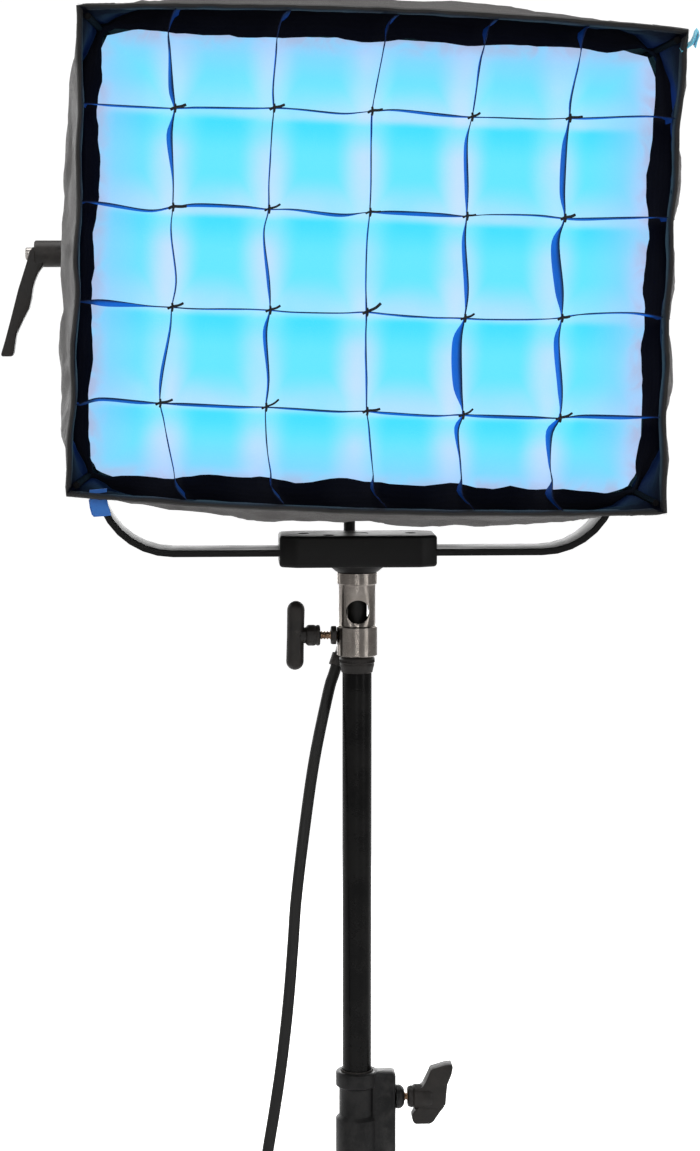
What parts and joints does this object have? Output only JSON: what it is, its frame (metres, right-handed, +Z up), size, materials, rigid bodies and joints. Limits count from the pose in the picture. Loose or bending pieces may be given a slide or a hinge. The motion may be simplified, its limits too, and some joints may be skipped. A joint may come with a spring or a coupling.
{
  "type": "softbox light head on a stand",
  "caption": "Colour light head with a fabric softbox, recessed diffuser and egg-crate grid, tilting in a yoke that pans on a sliding stand with folding legs and a power cable.",
  "frame": {"origin": "on the floor, at the middle of the base's bounding box", "axes": "+Z up, the light faces -Y, +X to the right as seen from in front of the light"},
  "size_m": [0.7516, 0.6554, 1.3901],
  "materials": {
    "black_paint": "semi-gloss black powder coat",
    "black_anodised": "fine black powder coat over aluminium",
    "cast_grey": "dark grey cast metal, satin",
    "black_plastic": "fine matte",
    "satin_nickel": "turned, satin nickel plated",
    "aluminium": "extruded, bare",
    "foot_rubber": "matte",
    "cable_rubber": "smooth rubber sheath",
    "softbox_fabric": "woven, soft, slightly brownish black",
    "diffuser_cloth": null,
    "grid_cloth": "dark blue black strips",
    "white_plastic": "white, matte",
    "board_green": "solder mask",
    "display_glass": "gloss",
    "cyan_webbing": "woven tape",
    "blue_webbing": "woven tape",
    "fibreglass": "pultruded rod"
  },
  "bodies": {
    "stand": {"column_tube": "black_paint", "hub_stop_ring": "black_paint", "collar_casting": "cast_grey", "collar_bush": "black_plastic", "leg_back_right": "black_paint", "leg_back_right_foot": "foot_rubber", "power_cable_lower": "cable_rubber", "cable_coil": "cable_rubber", "power_cable_tail": "cable_rubber", "mains_plug": "cable_rubber"},
    "leg_back_left": {"leg_back_left": "black_paint", "leg_back_left_foot": "foot_rubber"},
    "leg_front": {"leg_front": "black_paint", "leg_front_foot": "foot_rubber"},
    "collar_knob": {"collar_knob": "black_plastic", "collar_knob_screw": "satin_nickel"},
    "riser": {"riser_tube": "black_paint", "riser_cap": "black_plastic", "spigot_pin": "black_paint", "riser_cable_strap": "black_plastic", "power_cable_middle": "cable_rubber"},
    "yoke": {"yoke_bar": "black_anodised", "block_lower": "black_anodised", "block_upper": "black_anodised", "block_bolt": "satin_nickel", "receiver": "satin_nickel", "lock_nut": "black_plastic", "yoke_cable_strap": "black_plastic", "power_cable_upper": "cable_rubber"},
    "lock_knob": {"lock_knob": "black_plastic", "lock_screw": "satin_nickel"},
    "tilt_lever": {"tilt_lever": "black_plastic"},
    "head": {"housing": "black_anodised", "front_bezel": "black_anodised", "mixing_panel": "white_plastic", "mixing_chamber": "white_plastic", "led_board": "board_green", "heat_sink": "aluminium", "rear_cover": "black_anodised", "electronics_case": "black_plastic", "control_panel": "black_anodised", "display": "display_glass", "inlet_plug": "black_plastic", "trunnion_left": "satin_nickel", "trunnion_right": "satin_nickel", "pivot_nut": "satin_nickel", "mounting_frame": "black_plastic", "softbox_shell": "softbox_fabric", "diffuser": "diffuser_cloth", "diffuser_border": "softbox_fabric", "egg_crate_grid": "grid_cloth", "corner_rod_top_left": "fibreglass", "corner_rod_top_right": "fibreglass", "corner_rod_bottom_left": "fibreglass", "corner_rod_bottom_right": "fibreglass", "pull_tab": "cyan_webbing", "hanging_strap": "blue_webbing"},
    "dial": {"dial_knob": "black_plastic"},
    "switch": {"power_switch": "black_plastic"}
  },
  "joints": [
    {"name": "leg_back_left_fold", "type": "hinge", "parent": "stand", "child": "leg_back_left", "pos_m": [0, 0.10375, 0.1523], "axis": [0, 0, 1], "range_deg": [-105, 0]},
    {"name": "leg_front_fold", "type": "hinge", "parent": "stand", "child": "leg_front", "pos_m": [0, 0.10375, 0.1796], "axis": [0, 0, 1], "range_deg": [0, 105]},
    {"name": "collar_knob_turn", "type": "hinge", "parent": "stand", "child": "collar_knob", "pos_m": [0, 0.10375, 0.519], "axis": [1, 0, 0], "range_deg": [-180, 180]},
    {"name": "riser_slide", "type": "slide", "parent": "stand", "child": "riser", "axis": [0, 0, 1], "range_m": [-0.1, 0.14], "deforming": ["power_cable_lower"]},
    {"name": "pan", "type": "hinge", "parent": "riser", "child": "yoke", "pos_m": [0, 0.10375, 0.92], "axis": [0, 0, 1], "range_deg": [-30, 90], "deforming": ["power_cable_middle"]},
    {"name": "lock_knob_turn", "type": "hinge", "parent": "yoke", "child": "lock_knob", "pos_m": [0, 0.10375, 0.9019], "axis": [1, 0, 0], "range_deg": [-180, 180]},
    {"name": "tilt", "type": "hinge", "parent": "yoke", "child": "head", "pos_m": [0, 0.10375, 1.207], "axis": [1, 0, 0], "range_deg": [-50, 20], "deforming": ["power_cable_upper"]},
    {"name": "tilt_lever_turn", "type": "hinge", "parent": "yoke", "child": "tilt_lever", "pos_m": [-0.23, 0.10375, 1.207], "axis": [1, 0, 0], "range_deg": [-90, 90]},
    {"name": "dial_spin", "type": "hinge", "parent": "head", "child": "dial", "pos_m": [0.08, 0.18995, 1.123], "axis": [0, 1, 0], "continuous": true},
    {"name": "switch_rock", "type": "hinge", "parent": "head", "child": "switch", "pos_m": [0.08, 0.18965, 1.087], "axis": [1, 0, 0], "range_deg": [-8, 8]}
  ]
}
